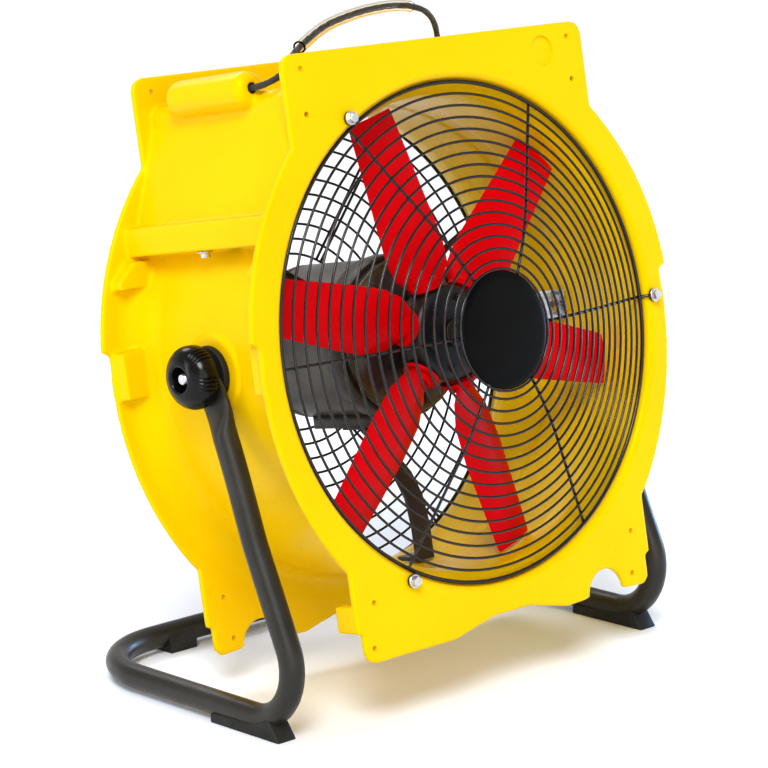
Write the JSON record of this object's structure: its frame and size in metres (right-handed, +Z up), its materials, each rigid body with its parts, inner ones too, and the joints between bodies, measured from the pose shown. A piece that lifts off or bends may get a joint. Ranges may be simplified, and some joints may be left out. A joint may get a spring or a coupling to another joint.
{
  "type": "air mover",
  "caption": "Axial air mover: red fan and motor in a yellow moulded housing with domed wire guards, tilting on a bent-tube floor stand, with a rope handle.",
  "frame": {"origin": "on the floor, under the middle of the bounding box", "axes": "+Z up, +X to the right seen from the outlet side, the fan blows towards -Y"},
  "size_m": [0.575, 0.3956, 0.6764],
  "materials": {
    "yellow_shell": "moulded polyethylene with a soft gloss",
    "red_plastic": "satin moulded plastic",
    "black_wire": "glossy black coated wire",
    "black_plastic": "satin black plastic",
    "stand_paint": "satin dark grey-brown powder coat",
    "foot_rubber": "matt dark grey",
    "motor_casing": "dark painted casting",
    "black_steel": "satin black",
    "zinc_steel": "bright zinc",
    "copper": "enamelled wire",
    "rope": "braided cord",
    "clear_hose": "clear soft hose"
  },
  "bodies": {
    "stand": {"stand_tube": "stand_paint", "front_foot_left": "foot_rubber", "front_foot_right": "foot_rubber", "rear_foot_left": "foot_rubber", "rear_foot_right": "foot_rubber", "pivot_pad_left": "foot_rubber", "pivot_pad_right": "foot_rubber"},
    "housing": {"housing": "yellow_shell", "front_guard": "black_wire", "rear_guard": "black_wire", "guard_badge": "black_plastic", "terminal_box": "black_plastic", "terminal_box_lid": "black_plastic", "switch_box": "black_plastic", "switch_frame": "black_plastic", "cable_gland": "black_plastic", "motor_lead": "foot_rubber", "motor_shell": "motor_casing", "motor_front_cover": "motor_casing", "motor_rear_cover": "motor_casing", "run_capacitor": "motor_casing", "motor_clamp_band": "black_steel", "motor_cradle": "black_steel", "motor_leg": "black_steel", "motor_strut_left": "black_steel", "motor_strut_right": "black_steel", "guard_bolt_front_1": "zinc_steel", "guard_bolt_front_2": "zinc_steel", "guard_bolt_front_3": "zinc_steel", "guard_bolt_rear_1": "zinc_steel", "guard_bolt_rear_2": "zinc_steel", "guard_bolt_rear_3": "zinc_steel", "pivot_bolt_left": "zinc_steel", "pivot_bolt_right": "zinc_steel", "pivot_plate_left": "zinc_steel", "pivot_plate_right": "zinc_steel", "ledge_bolt_left": "zinc_steel", "ledge_bolt_right": "zinc_steel", "bearing_front": "zinc_steel", "bearing_rear": "zinc_steel", "stator_core": "zinc_steel", "stator_winding": "copper", "handle_rope": "rope", "rope_knot_left": "rope", "rope_knot_right": "rope", "handle_hose": "clear_hose"},
    "impeller": {"motor_rotor": "zinc_steel", "hub_front": "black_plastic", "hub_rear": "black_plastic", "hub_screw": "zinc_steel", "blade_1": "red_plastic", "blade_2": "red_plastic", "blade_3": "red_plastic", "blade_4": "red_plastic", "blade_5": "red_plastic", "blade_6": "red_plastic"},
    "knob_left": {"knob_left": "black_plastic"},
    "knob_right": {"knob_right": "black_plastic"},
    "switch_rocker": {"switch_rocker": "black_plastic"}
  },
  "joints": [
    {"name": "housing_tilt", "type": "hinge", "parent": "stand", "child": "housing", "pos_m": [0, -0.02981, 0.34388], "axis": [-1, 0, 0], "range_deg": [-20, 50]},
    {"name": "impeller_spin", "type": "hinge", "parent": "housing", "child": "impeller", "pos_m": [0, -0.02981, 0.34388], "axis": [0, 0.9861, -0.1663], "continuous": true},
    {"name": "knob_left_turn", "type": "hinge", "parent": "housing", "child": "knob_left", "pos_m": [0, -0.02981, 0.34388], "axis": [1, 0, 0], "range_deg": [0, 360]},
    {"name": "knob_right_turn", "type": "hinge", "parent": "housing", "child": "knob_right", "pos_m": [0, -0.02981, 0.34388], "axis": [-1, 0, 0], "range_deg": [0, 360]},
    {"name": "switch_rocker_rock", "type": "hinge", "parent": "housing", "child": "switch_rocker", "pos_m": [0.22518, 0.00339, 0.54068], "axis": [0, -0.9861, 0.1663], "range_deg": [0, 16]}
  ]
}
